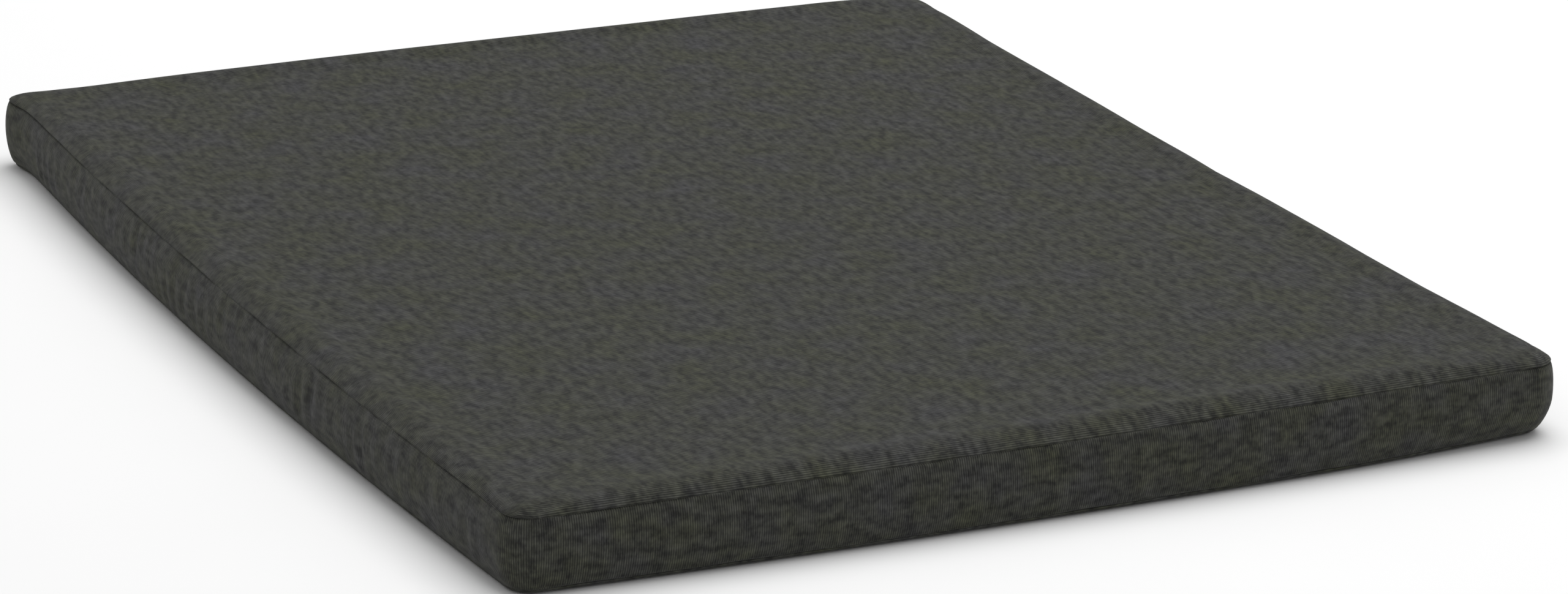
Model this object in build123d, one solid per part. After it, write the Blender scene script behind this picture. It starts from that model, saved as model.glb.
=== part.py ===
from build123d import *
import os

# A double futon mattress: a zipped cover of ribbed cloth over an inner casing, wadding, cotton felt
# and a foam core. X is its width, Y its length and Z is up; it lies on Z = 0, centred on the origin.
# Sizes are in millimetres. The zip is in the middle of the border at the +Y end.
WIDTH = 1600
LENGTH = 2000
THICKNESS = 120
CORNER_RADIUS = 40
MID_HEIGHT = THICKNESS / 2
CUT = 1  # how far a cutting solid runs past the face that it opens

# Cover: each panel rolls over the edge to a plain seam, and its allowance is turned inside.
CLOTH = 1.2
EDGE_ROLL = 12
ALLOWANCE = 12
SEAM_DEPTH = 3 * CLOTH
TOP_SEAM = THICKNESS - EDGE_ROLL
BOTTOM_SEAM = EDGE_ROLL
JOIN_SETBACK = 10
JOIN_X = WIDTH / 2 - CORNER_RADIUS - JOIN_SETBACK
JOIN_MARGIN = 2

# Sewing thread: one band along each stitch line, as deep as the layers that the stitches cross.
THREAD = 0.8
STITCH_DROP = 0.2
KNOT = 0.3

# Filling, from the outside in.
FILLING_GAP = 5.2
CASING = 0.6
CASING_EDGE = 8
WADDING = 8
FELT = 15

# Zip: a coil zip sewn behind the turned edges of the two zip strips.
ZIP_HALF = 700
OPENING_HALF = ZIP_HALF + 5
STRIP_GAP = 7
HEM = 12
TAPE_THICKNESS = 0.6
TAPE_WIDTH = 16
TAPE_HALF = ZIP_HALF + 20
CHAIN_GAP = 0.6
COIL_WIDTH = 2.6
COIL_TOP = 0.3
STOP_LENGTH = 4
TOPSTITCH_SETBACK = 5

# Slider and its pull tab. Depths are measured inwards from the border's outer face.
TAPE_FACE = 2 * CLOTH
SLIDER_LENGTH = 11
SLIDER_HALF_WIDTH = 5
SLIDER_PLATE = 1.3
INNER_PLATE = 1.2
PLATE_CORNER = 2
SLIDER_FLANGE = 1.4
SLIDER_CLEARANCE = 0.4
SLIDER_WEB = 0.6
SLIDER_WEB_LENGTH = 3
SLIDER_X = ZIP_HALF - STOP_LENGTH - SLIDER_LENGTH / 2 - 1
BRIDGE_HALF_LENGTH = 4.5
BRIDGE_FOOT = 1
BRIDGE_HALF_WIDTH = 1.2
BRIDGE_BAR = 1
BRIDGE_ROUNDING = 1
PIN_RADIUS = 0.6
PIN_CLEARANCE = 0.3
PIN_HEIGHT = SLIDER_PLATE + PIN_CLEARANCE + PIN_RADIUS
PULL_ARM = 5.6
PULL_LENGTH = 24
PULL_HALF_WIDTH = 3.2
PULL_SLOT_HALF = BRIDGE_HALF_WIDTH + 0.4
PULL_CORNER = 1.5

BACK = LENGTH / 2


def block(x, y, z):
    """A box from (low, high) pairs."""
    size = Box(x[1] - x[0], y[1] - y[0], z[1] - z[0])
    centre = (sum(x) / 2, sum(y) / 2, sum(z) / 2)
    return Pos(*centre) * size


def slab(inset, low, high, edge=0):
    """The mattress outline moved in by inset, between two heights, with rounded rims."""
    outline = RectangleRounded(WIDTH - 2 * inset, LENGTH - 2 * inset, CORNER_RADIUS - inset)
    solid = Pos(0, 0, low) * extrude(outline, high - low)
    if edge:
        rims = solid.faces().filter_by(Axis.Z).edges()
        solid = fillet(rims, edge)
    return solid


def ring(outer, inner, low, high):
    """An upright band that follows the outline between two insets."""
    return slab(outer, low, high) - slab(inner, low - CUT, high + CUT)


def behind(depth, thickness):
    """The Y range of a layer that starts at a depth behind the back border's outer face."""
    return (BACK - depth - thickness, BACK - depth)


def mirrored_up(solid):
    """The same solid on the other side of the mattress's middle height."""
    middle = Plane.XY.offset(MID_HEIGHT)
    return mirror(solid, about=middle)


def save(solid, name):
    """Write one named piece."""
    export_step(solid, "parts/" + name + ".step")


os.makedirs("parts", exist_ok=True)


# Cover panels: the outer shell above the seam, a shelf over the seam and the allowance inside it.
def top_panel():
    skin = slab(0, 0, THICKNESS, EDGE_ROLL) - slab(CLOTH, CLOTH, THICKNESS - CLOTH, EDGE_ROLL - CLOTH)
    skin = skin & slab(-CLOTH, TOP_SEAM, THICKNESS + CLOTH)
    shelf = ring(CLOTH / 2, SEAM_DEPTH, TOP_SEAM, TOP_SEAM + CLOTH)
    flap = ring(2 * CLOTH, SEAM_DEPTH, TOP_SEAM - ALLOWANCE, TOP_SEAM + CLOTH / 2)
    return skin + shelf + flap


cover_top = top_panel()
save(cover_top, "cover_top_panel")
save(mirrored_up(cover_top), "cover_bottom_panel")

# Border strip: one length of cloth round the front and both sides, hemmed along both edges. Its
# two ends are turned back on themselves at the joins with the zip strips.
back_window = block((-JOIN_X, JOIN_X), (BACK - 2 * SEAM_DEPTH, BACK + CUT), (0, THICKNESS))
border_wall = ring(0, CLOTH, BOTTOM_SEAM, TOP_SEAM)
border_hem_top = ring(CLOTH / 2, 2 * CLOTH, TOP_SEAM - ALLOWANCE, TOP_SEAM)
border_hem_bottom = ring(CLOTH / 2, 2 * CLOTH, BOTTOM_SEAM, BOTTOM_SEAM + ALLOWANCE)
border_all_round = border_wall + border_hem_top + border_hem_bottom
join_low = BOTTOM_SEAM + ALLOWANCE + JOIN_MARGIN
join_high = TOP_SEAM - ALLOWANCE - JOIN_MARGIN
border_strip = border_all_round - back_window
for side in (-1, 1):
    turned_x = sorted((side * JOIN_X, side * (JOIN_X + ALLOWANCE)))
    turned_end = block(turned_x, behind(CLOTH / 2, 1.5 * CLOTH), (join_low, join_high))
    border_strip = border_strip + turned_end
save(border_strip, "cover_border_strip")


# Zip strips: half the border's height each. They meet in a plain seam beyond the zip and stand back
# from the chain along it, with a hem that the zip tape is sewn to.
def zip_strip():
    strip = border_all_round & back_window
    strip = strip & block((-JOIN_X, JOIN_X), (0, BACK), (MID_HEIGHT, THICKNESS))
    hem_z = (MID_HEIGHT, MID_HEIGHT + STRIP_GAP + HEM)
    hem = block((-JOIN_X, JOIN_X), behind(CLOTH / 2, 1.5 * CLOTH), hem_z)
    strip = strip + hem
    opening_z = (MID_HEIGHT - CUT, MID_HEIGHT + STRIP_GAP)
    opening = block((-OPENING_HALF, OPENING_HALF), behind(-CUT, SEAM_DEPTH + CUT), opening_z)
    strip = strip - opening
    for side in (-1, 1):
        shelf_x = sorted((side * (JOIN_X - CLOTH), side * JOIN_X))
        shelf = block(shelf_x, behind(CLOTH / 2, 2.5 * CLOTH), (MID_HEIGHT, join_high))
        flap_x = sorted((side * (JOIN_X - CLOTH / 2), side * (JOIN_X + ALLOWANCE)))
        flap = block(flap_x, behind(2 * CLOTH, CLOTH), (MID_HEIGHT, join_high))
        strip = strip + shelf + flap
    return strip


zip_strip_upper = zip_strip()
save(zip_strip_upper, "cover_zip_strip_upper")
save(mirrored_up(zip_strip_upper), "cover_zip_strip_lower")

# Seam threads of the cover: all round under each rolled edge, up the two border joins, and in the
# short plain seams between the zip strips.
stitch_high = TOP_SEAM - STITCH_DROP
seam_thread = ring(CLOTH, SEAM_DEPTH + KNOT, stitch_high - THREAD, stitch_high)
save(seam_thread, "cover_seam_thread_top")
save(mirrored_up(seam_thread), "cover_seam_thread_bottom")
join_threads = []
strip_threads = []
for side in (-1, 1):
    join_x = sorted((side * (JOIN_X + STITCH_DROP), side * (JOIN_X + STITCH_DROP + THREAD)))
    join_threads.append(block(join_x, behind(CLOTH, 2 * CLOTH + KNOT), (join_low, join_high)))
    strip_x = sorted((side * (TAPE_HALF + JOIN_MARGIN), side * (JOIN_X - JOIN_MARGIN)))
    strip_z = (MID_HEIGHT - THREAD / 2, MID_HEIGHT + THREAD / 2)
    strip_threads.append(block(strip_x, behind(CLOTH, CLOTH), strip_z))
save(Compound(children=join_threads), "border_join_threads")
save(Compound(children=strip_threads), "zip_strip_join_threads")

# Zip tape, coil, stops and the line of topstitching that holds the tape.
tape_z = (MID_HEIGHT + CHAIN_GAP, MID_HEIGHT + TAPE_WIDTH)
tape = block((-TAPE_HALF, TAPE_HALF), behind(TAPE_FACE, TAPE_THICKNESS), tape_z)
coil_half = ZIP_HALF - STOP_LENGTH
coil_z = (MID_HEIGHT + CHAIN_GAP, MID_HEIGHT + CHAIN_GAP + COIL_WIDTH)
coil_y = behind(COIL_TOP, TAPE_FACE - COIL_TOP)
coil = block((-coil_half, coil_half), coil_y, coil_z)
top_stop = block((coil_half, ZIP_HALF), coil_y, coil_z)
stitch_z = MID_HEIGHT + STRIP_GAP + TOPSTITCH_SETBACK
topstitch_y = behind(-KNOT, TAPE_FACE + TAPE_THICKNESS + 2 * KNOT)
topstitch = block((-TAPE_HALF, TAPE_HALF), topstitch_y, (stitch_z, stitch_z + THREAD))
upper_pieces = {"zip_tape": tape, "zip_coil": coil, "zip_top_stop": top_stop, "zip_topstitch": topstitch}
for name, solid in upper_pieces.items():
    save(solid, name + "_upper")
    save(mirrored_up(solid), name + "_lower")
stop_z = (MID_HEIGHT - CHAIN_GAP - COIL_WIDTH, MID_HEIGHT + CHAIN_GAP + COIL_WIDTH)
save(block((-ZIP_HALF, -coil_half), coil_y, stop_z), "zip_bottom_stop")


# Slider: an outer and an inner plate round the chain, joined by a thin web between the two coils,
# with a bridge on top for the pull tab.
def slider():
    x = (SLIDER_X - SLIDER_LENGTH / 2, SLIDER_X + SLIDER_LENGTH / 2)
    z = (MID_HEIGHT - SLIDER_HALF_WIDTH, MID_HEIGHT + SLIDER_HALF_WIDTH)
    outer_plate = block(x, behind(-SLIDER_PLATE, SLIDER_PLATE), z)
    plate_edges = outer_plate.edges().filter_by(Axis.Y)
    outer_plate = fillet(plate_edges, PLATE_CORNER)
    inner_depth = TAPE_FACE + TAPE_THICKNESS + SLIDER_CLEARANCE
    inner_plate = block(x, behind(inner_depth, INNER_PLATE), z)
    inner_plate = fillet(inner_plate.edges().filter_by(Axis.Y), PLATE_CORNER)
    body = outer_plate + inner_plate
    flange_x = (x[0] + PLATE_CORNER, x[1] - PLATE_CORNER)
    flange_y = behind(-SLIDER_PLATE / 2, TAPE_FACE - SLIDER_CLEARANCE + SLIDER_PLATE / 2)
    flange_inside = SLIDER_HALF_WIDTH - SLIDER_FLANGE
    for side in (-1, 1):
        flange_z = sorted((MID_HEIGHT + side * flange_inside, MID_HEIGHT + side * SLIDER_HALF_WIDTH))
        body = body + block(flange_x, flange_y, flange_z)
    web_x = (x[1] - SLIDER_WEB_LENGTH, x[1])
    web_z = (MID_HEIGHT - SLIDER_WEB / 2, MID_HEIGHT + SLIDER_WEB / 2)
    body = body + block(web_x, behind(-SLIDER_PLATE / 2, inner_depth + SLIDER_PLATE), web_z)
    bridge_top = PIN_HEIGHT + PIN_RADIUS + PIN_CLEARANCE + BRIDGE_BAR
    bridge_x = (SLIDER_X - BRIDGE_HALF_LENGTH, SLIDER_X + BRIDGE_HALF_LENGTH)
    bridge_z = (MID_HEIGHT - BRIDGE_HALF_WIDTH, MID_HEIGHT + BRIDGE_HALF_WIDTH)
    bridge = block(bridge_x, (BACK + SLIDER_PLATE / 2, BACK + bridge_top), bridge_z)
    rounded = bridge.edges().filter_by(Axis.Z).group_by(Axis.Y)[-1]
    bridge = fillet(rounded, BRIDGE_ROUNDING)
    under_x = (bridge_x[0] + BRIDGE_FOOT, bridge_x[1] - BRIDGE_FOOT)
    under = block(under_x, (BACK + SLIDER_PLATE, BACK + bridge_top - BRIDGE_BAR), (0, THICKNESS))
    return body + (bridge - under)


# Pull tab: a flat tab with a slot at one end, whose bar passes under the slider's bridge.
def pull_tab():
    pin_y = BACK + PIN_HEIGHT
    z = (MID_HEIGHT - PULL_HALF_WIDTH, MID_HEIGHT + PULL_HALF_WIDTH)
    tab_y = (pin_y - PIN_RADIUS, pin_y + PIN_RADIUS)
    tab = block((SLIDER_X - PULL_LENGTH, SLIDER_X), tab_y, z)
    far_corners = tab.edges().filter_by(Axis.Y).group_by(Axis.X)[0]
    tab = fillet(far_corners, PULL_CORNER)
    slot_z = (MID_HEIGHT - PULL_SLOT_HALF, MID_HEIGHT + PULL_SLOT_HALF)
    slot_x = (SLIDER_X - PULL_ARM, SLIDER_X + CUT)
    tab = tab - block(slot_x, (pin_y - CUT, pin_y + CUT), slot_z)
    bar = Pos(SLIDER_X, pin_y, MID_HEIGHT) * Cylinder(PIN_RADIUS, 2 * PULL_HALF_WIDTH)
    return tab + bar


save(slider(), "zip_slider")
save(pull_tab(), "zip_pull_tab")

# Inner casing: a boxed lining in three pieces, with the wadding lying against it.
casing_solid = slab(FILLING_GAP, CLOTH, THICKNESS - CLOTH, CASING_EDGE)
wadding_inset = FILLING_GAP + CASING
wadding_low = CLOTH + CASING
wadding_solid = slab(wadding_inset, wadding_low, THICKNESS - wadding_low, CASING_EDGE - CASING)
casing_shell = casing_solid - wadding_solid
core_inset = wadding_inset + WADDING
core_low = wadding_low + WADDING
core_high = THICKNESS - core_low
casing_top = casing_shell & slab(0, core_high, THICKNESS)
save(casing_top, "inner_casing_top")
save(mirrored_up(casing_top), "inner_casing_bottom")
save(casing_shell & slab(0, core_low, core_high), "inner_casing_border")
wadding_top = wadding_solid & slab(0, core_high, THICKNESS)
save(wadding_top, "wadding_top")
save(mirrored_up(wadding_top), "wadding_bottom")
save((wadding_solid & slab(0, core_low, core_high)) - slab(core_inset, 0, THICKNESS), "wadding_border")

# Core: a block of foam between two layers of cotton felt.
save(slab(core_inset, core_high - FELT, core_high), "felt_layer_top")
save(slab(core_inset, core_low + FELT, core_high - FELT), "foam_core")
save(slab(core_inset, core_low, core_low + FELT), "felt_layer_bottom")
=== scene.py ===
import bpy
import math
import numpy as np
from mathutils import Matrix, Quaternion, Vector, noise


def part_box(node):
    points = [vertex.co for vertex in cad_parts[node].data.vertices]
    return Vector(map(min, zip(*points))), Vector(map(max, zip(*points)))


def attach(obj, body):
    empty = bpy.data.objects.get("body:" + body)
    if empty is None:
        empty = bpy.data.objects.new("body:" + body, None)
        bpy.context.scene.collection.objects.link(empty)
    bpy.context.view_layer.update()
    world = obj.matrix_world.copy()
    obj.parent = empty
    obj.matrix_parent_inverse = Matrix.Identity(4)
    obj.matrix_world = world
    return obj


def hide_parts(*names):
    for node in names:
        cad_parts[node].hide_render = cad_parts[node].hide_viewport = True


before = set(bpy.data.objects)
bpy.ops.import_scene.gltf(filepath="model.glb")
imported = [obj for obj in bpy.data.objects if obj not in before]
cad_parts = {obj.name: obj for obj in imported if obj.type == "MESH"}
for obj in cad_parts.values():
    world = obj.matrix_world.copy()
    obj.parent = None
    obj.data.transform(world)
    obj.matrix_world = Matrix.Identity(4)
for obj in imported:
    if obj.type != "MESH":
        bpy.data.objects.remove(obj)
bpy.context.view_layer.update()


# FOAM CORE
# A slab of open-cell polyurethane foam, cut square by a hot wire. It lies between two layers of felt and
# follows the bow that the filled mattress takes, which is worked out here for every soft piece.
cover_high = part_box("cover_top_panel")[1]
HALF_X = cover_high.x
HALF_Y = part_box("cover_border_strip")[1].y
TOP_Z = cover_high.z
BOW_LEFT, BOW_RIGHT, BOW_FRONT, BOW_BACK = 0.024, -0.010, 0.011, 0.006
LOW_BOW_LEFT, LOW_BOW_FRONT = 0.008, 0.010
TUCK_START, TUCK_DEPTH = 0.45, 0.018
CROWN = 0.0022
LEFT_EAR, RIGHT_EAR, EAR_REACH = 0.017, -0.015, 0.05
FOAM_EDGE = (0.0015, 0.0015)
FOAM_UNEVEN, UNEVEN_LENGTH = 0.0002, 0.03
FOAM_CORNER = 0.026
FOAM_STEP = 0.05
FOAM_CELL = 0.0012


def relaxed(points):
    """Points of the true box moved to where the filled, handled mattress has them."""
    moved = points.copy()
    x, y, z = points[:, 0], points[:, 1], points[:, 2]
    across, along, up = x / HALF_X, y / HALF_Y, z / TOP_Z
    side_left, side_right = (0.5 - across / 2) ** 3, (0.5 + across / 2) ** 3
    side_front, side_back = (0.5 - along / 2) ** 3, (0.5 + along / 2) ** 3
    belly_x, belly_y = np.clip(1 - along ** 2, 0, 1), np.clip(1 - across ** 2, 0, 1)
    moved[:, 0] -= belly_x * side_left * (BOW_LEFT + LOW_BOW_LEFT * (1 - up))
    moved[:, 0] += belly_x * side_right * BOW_RIGHT
    moved[:, 1] -= belly_y * side_front * (BOW_FRONT + LOW_BOW_FRONT * (1 - up))
    moved[:, 1] += belly_y * side_back * BOW_BACK * np.clip(2 * up - 1, 0, 1)
    tuck = np.clip((across - TUCK_START) / (1 - TUCK_START), 0, 1) ** 2
    moved[:, 1] += TUCK_DEPTH * tuck * side_front * np.clip(1 - up / 0.45, 0, 1) ** 1.5
    left_pull = LEFT_EAR * np.exp(-((x + HALF_X) ** 2 + (y - HALF_Y) ** 2) / EAR_REACH ** 2)
    moved[:, 1] += left_pull
    moved[:, 0] -= left_pull
    moved[:, 1] += RIGHT_EAR * np.exp(-((x - HALF_X) ** 2 + (y - HALF_Y) ** 2) / EAR_REACH ** 2)
    moved[:, 2] += CROWN * (1 - across ** 4) * (1 - along ** 4) * np.clip(up, 0, 1) ** 4
    return moved


def rounded_rim(reach, drop, flat, corner):
    """The rings of a slab's rounded edge, as (inset, height), from its side to its flat face. The edge
    falls by drop within reach of the side, or rises from the lower face where drop is below zero."""
    rim = []
    for number in range(5):
        angle = math.radians(22.5 * number)
        rim.append((reach * (1 - math.cos(angle)), flat - drop * (1 - math.sin(angle))))
    return rim + [(corner, flat)]


def grid_lines(half, corner, rim, step):
    """Places of a panel's grid lines across one direction: the rings of its rim, then even steps."""
    inner = half - corner
    middle = np.linspace(-inner, inner, 2 * round(inner / step) + 1)
    edge = [half - inset for inset, _ in rim[:-1]]
    return np.concatenate([[-e for e in edge], middle, edge[::-1]])


def panel_points(half_x, half_y, corner, rim, step):
    """A panel's points as a grid: rings of the rounded outline at its rim, and a plain middle."""
    xs, ys = grid_lines(half_x, corner, rim, step), grid_lines(half_y, corner, rim, step)
    nx, ny, last = len(xs), len(ys), len(rim) - 1
    points = np.zeros((ny, nx, 3))
    for j in range(ny):
        for i in range(nx):
            edge_x, edge_y = min(i, nx - 1 - i), min(j, ny - 1 - j)
            ring = min(edge_x, edge_y, last)
            inset, height = rim[ring]
            x, y = xs[i], ys[j]
            if edge_x < last and edge_y < last:
                share = (max(edge_x, edge_y) - ring) / (last - ring)
                angle = math.radians(45 * (1 - share))
                along, across = math.cos(angle), math.sin(angle)
                if edge_y < edge_x:
                    along, across = across, along
                x = math.copysign(half_x - corner + (corner - inset) * along, x)
                y = math.copysign(half_y - corner + (corner - inset) * across, y)
            points[j, i] = (x, y, height)
    return points


def rim_loop(ny, nx):
    """The grid places of a panel's outer edge, anticlockwise from the front left corner."""
    front = [(0, i) for i in range(nx)]
    right = [(j, nx - 1) for j in range(1, ny)]
    back = [(ny - 1, i) for i in range(nx - 2, -1, -1)]
    left = [(j, 0) for j in range(ny - 2, 0, -1)]
    return front + right + back + left


def grid_faces(ids, closed=False):
    """Faces between the rows of a grid of point numbers, which run from the top down."""
    if closed:
        ids = np.column_stack([ids, ids[:, 0]])
    return np.stack([ids[1:, :-1], ids[1:, 1:], ids[:-1, 1:], ids[:-1, :-1]], -1).reshape(-1, 4)


def unit(vectors):
    """Rows of vectors, each brought to a length of one."""
    return vectors / np.linalg.norm(vectors, axis=1)[:, None]


def soft_box(half_x, half_y, corner, top_rim, bottom_rim, rows, step):
    """A filled box: its points, its top, bottom and side faces, the side's point numbers row by row,
    and the directions that point inwards from its rim. rows holds (inset, height) between the rims."""
    top = panel_points(half_x, half_y, corner, top_rim, step)
    bottom = panel_points(half_x, half_y, corner, bottom_rim, step)
    ny, nx, _ = top.shape
    loop = rim_loop(ny, nx)
    rim = np.array([top[place] for place in loop])[:, :2]
    middle = np.clip(rim, [corner - half_x, corner - half_y], [half_x - corner, half_y - corner])
    inward = unit(middle - rim)
    sides = []
    for inset, height in rows:
        sides.append(np.column_stack([rim + inward * (inset - top_rim[0][0]), np.full(len(loop), height)]))
    points = np.concatenate([top.reshape(-1, 3), bottom.reshape(-1, 3), *sides])
    count = ny * nx
    grid = np.arange(count).reshape(ny, nx)
    ids = [np.array([grid[place] for place in loop])]
    ids += [2 * count + row * len(loop) + np.arange(len(loop)) for row in range(len(rows))]
    ids = np.array(ids + [ids[0] + count])
    top_faces = grid_faces(grid[::-1])
    bottom_faces = top_faces[:, ::-1] + count
    return points, top_faces, bottom_faces, grid_faces(ids, closed=True), ids, inward


def linear(code):
    """An sRGB hex colour as linear red, green, blue and alpha."""
    values = [int(code[i:i + 2], 16) / 255 for i in (1, 3, 5)]
    return [v / 12.92 if v <= 0.04045 else ((v + 0.055) / 1.055) ** 2.4 for v in values] + [1.0]


def add_node(tree, kind, settings, links={}):
    """A node with its settings, which are inputs or properties by name, and what feeds its inputs."""
    node = tree.nodes.new(kind)
    properties = [key for key in settings if isinstance(key, str) and hasattr(node, key)]
    for key in properties:
        setattr(node, key, settings[key])
    for key in settings:
        if key not in properties:
            node.inputs[key].default_value = settings[key]
    for key, source in links.items():
        tree.links.new(source, node.inputs[key])
    return node


def new_material(name):
    """An empty node material, its tree and its shader."""
    material = bpy.data.materials.new(name)
    material.use_nodes = True
    return material, material.node_tree, material.node_tree.nodes["Principled BSDF"]


def object_place(tree):
    """Where a point lies on its piece, in metres."""
    return add_node(tree, "ShaderNodeTexCoord", {}).outputs["Object"]


def paint(tree, shader, share, first, second):
    """Colours a material from one sRGB colour to another by the share of the second."""
    colour = add_node(tree, "ShaderNodeMix", {"data_type": "RGBA", 6: linear(first), 7: linear(second)},
                      {0: share})
    tree.links.new(colour.outputs[2], shader.inputs["Base Color"])
    return colour


def bands(tree, place, direction, pitch):
    """Even bands across a direction, one to each pitch in metres."""
    wave = add_node(tree, "ShaderNodeTexWave",
                    {"bands_direction": direction, "Scale": 2 * math.pi / 20 / pitch}, {"Vector": place})
    return wave.outputs["Fac"]


def raise_relief(tree, shader, height, strength, distance):
    """Gives a material its fine relief from a height."""
    relief = add_node(tree, "ShaderNodeBump", {"Strength": strength, "Distance": distance},
                      {"Height": height})
    tree.links.new(relief.outputs["Normal"], shader.inputs["Normal"])


def mesh_piece(name, vertices, faces, material, node):
    """A smooth mesh piece that rides on the mattress and stands for its CAD node."""
    mesh = bpy.data.meshes.new(name)
    mesh.from_pydata(vertices, [], faces)
    mesh.polygons.foreach_set("use_smooth", np.ones(len(faces), bool))
    mesh.materials.append(material)
    piece = bpy.data.objects.new(name, mesh)
    bpy.context.scene.collection.objects.link(piece)
    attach(piece, "mattress")
    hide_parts(node)
    return piece


def soft_piece(name, points, faces, material, node, cloth_map=None):
    """A piece made of those points that its faces use, with its map in metres of flat cloth if it has one."""
    used = np.unique(faces)
    renumber = np.full(len(points), -1)
    renumber[used] = np.arange(len(used))
    piece = mesh_piece(name, points[used].tolist(), renumber[faces].tolist(), material, node)
    if cloth_map is not None:
        layer = piece.data.uv_layers.new(name="cloth")
        layer.data.foreach_set("uv", cloth_map[faces].astype(np.float32).ravel())
    return piece


def thicken(piece, thickness):
    """Gives a piece its thickness, inwards from the side that its faces show."""
    bpy.ops.object.select_all(action="DESELECT")
    bpy.context.view_layer.objects.active = piece
    wall = piece.modifiers.new("Solidify", "SOLIDIFY")
    wall.thickness = thickness
    wall.offset = -1
    wall.use_even_offset = False
    bpy.ops.object.modifier_apply(modifier=wall.name)


# Polyurethane foam: pale yellow, quite matt, its cut face pitted with open cells about a millimetre wide.
foam_material, tree, shader = new_material("open_cell_polyurethane_foam")
place = object_place(tree)
cells = add_node(tree, "ShaderNodeTexVoronoi", {"Scale": 1 / FOAM_CELL}, {"Vector": place})
cloud = add_node(tree, "ShaderNodeTexNoise", {"Scale": 6.0, "Detail": 3.0}, {"Vector": place})
paint(tree, shader, cloud.outputs["Fac"], "#e3d7a2", "#efe6c0")
raise_relief(tree, shader, cells.outputs["Distance"], 0.5, 0.0006)
shader.inputs["Roughness"].default_value = 0.95


def slab_piece(name, node, material, upper_edge, lower_edge, roughness):
    """A full slab in the space of its CAD node, with its edges rounded and its faces a little uneven."""
    low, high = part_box(node)
    shape = soft_box(high.x, high.y, FOAM_CORNER, rounded_rim(*upper_edge, high.z, FOAM_CORNER),
                     rounded_rim(lower_edge[0], -lower_edge[1], low.z, FOAM_CORNER), [], FOAM_STEP)
    points = relaxed(shape[0])
    for point in points:
        point += roughness * np.array(noise.noise_vector(Vector(point / UNEVEN_LENGTH)))
    return soft_piece(name, points, np.concatenate(shape[1:4]), material, node)


foam_block = slab_piece("foam_block", "foam_core", foam_material, FOAM_EDGE, FOAM_EDGE,
                        FOAM_UNEVEN)


# COTTON FELT
# Two layers of needled cotton felt, one above and one below the foam, which give a futon its firm hand.
# They are cut to the size of the foam and laid on it loose; their edges are ragged.
FELT_EDGE = (0.003, 0.003)
FELT_PRESSED_EDGE = (0.022, 0.011)
FELT_RAGGED = 0.0007
FELT_TUFT = 0.004

# Needled cotton: off-white with flecks of seed and dark lint, soft and quite matt.
felt_material, tree, shader = new_material("needled_cotton_felt")
place = object_place(tree)
tuft = add_node(tree, "ShaderNodeTexNoise", {"Scale": 1 / FELT_TUFT, "Detail": 6.0, "Roughness": 0.7},
                {"Vector": place})
cotton = paint(tree, shader, tuft.outputs["Fac"], "#b9b0a0", "#e6dfd0")
fleck = add_node(tree, "ShaderNodeTexVoronoi", {"Scale": 90.0}, {"Vector": place})
is_fleck = add_node(tree, "ShaderNodeMath", {"operation": "LESS_THAN", 1: 0.09},
                    {0: fleck.outputs["Distance"]})
colour = add_node(tree, "ShaderNodeMix", {"data_type": "RGBA", 7: linear("#6d6252")},
                  {0: is_fleck.outputs[0], 6: cotton.outputs[2]})
raise_relief(tree, shader, tuft.outputs["Fac"], 0.7, 0.0015)
shader.inputs["Roughness"].default_value = 1.0
shader.inputs["Sheen Weight"].default_value = 0.3
tree.links.new(colour.outputs[2], shader.inputs["Base Color"])

for name, node, upper_edge in (("felt_upper_layer", "felt_layer_top", FELT_PRESSED_EDGE),
                               ("felt_lower_layer", "felt_layer_bottom", FELT_EDGE)):
    felt = slab_piece(name, node, felt_material, upper_edge, FELT_EDGE, FELT_RAGGED)


# WADDING
# Bonded polyester wadding wrapped round the core: a pad above, a pad below and a band round the sides.
# It softens the edges, and stands back from the seam allowances that are turned in beside it.
SEAM_ROOM = 0.0032
UPPER_EDGE = (0.030, 0.014)
LOWER_EDGE = (0.012, 0.012)
WADDING_CORNER = 0.031
WADDING_STEP = 0.03
WADDING_FIBRE = 0.0025

# Polyester fibre: white, with a faint gloss along its fibres and a puffy surface.
wadding_material, tree, shader = new_material("bonded_polyester_wadding")
place = object_place(tree)
fibre = add_node(tree, "ShaderNodeTexNoise", {"Scale": 1 / WADDING_FIBRE, "Detail": 8.0, "Distortion": 1.5},
                 {"Vector": place})
puff = add_node(tree, "ShaderNodeTexNoise", {"Scale": 40.0, "Detail": 2.0}, {"Vector": place})
height = add_node(tree, "ShaderNodeMath", {"operation": "MULTIPLY_ADD", 1: 0.3},
                  {0: fibre.outputs["Fac"], 2: puff.outputs["Fac"]})
paint(tree, shader, fibre.outputs["Fac"], "#cfcfcb", "#f4f4f0")
raise_relief(tree, shader, height.outputs[0], 0.6, 0.003)
shader.inputs["Roughness"].default_value = 0.8
shader.inputs["Sheen Weight"].default_value = 0.4


def wrapping(outline_node, low, high, corner, step):
    """The shape of a layer that wraps the core: its points and the faces of its three pieces."""
    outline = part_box(outline_node)[1]
    rows = [(0.0, low + (high - low) * share) for share in (0.8, 0.65, 0.5, 0.35, 0.2)]
    shape = soft_box(outline.x - SEAM_ROOM, outline.y - SEAM_ROOM, corner,
                     rounded_rim(*UPPER_EDGE, high, corner),
                     rounded_rim(LOWER_EDGE[0], -LOWER_EDGE[1], low, corner), rows, step)
    return (relaxed(shape[0]), *shape[1:4])


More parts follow.
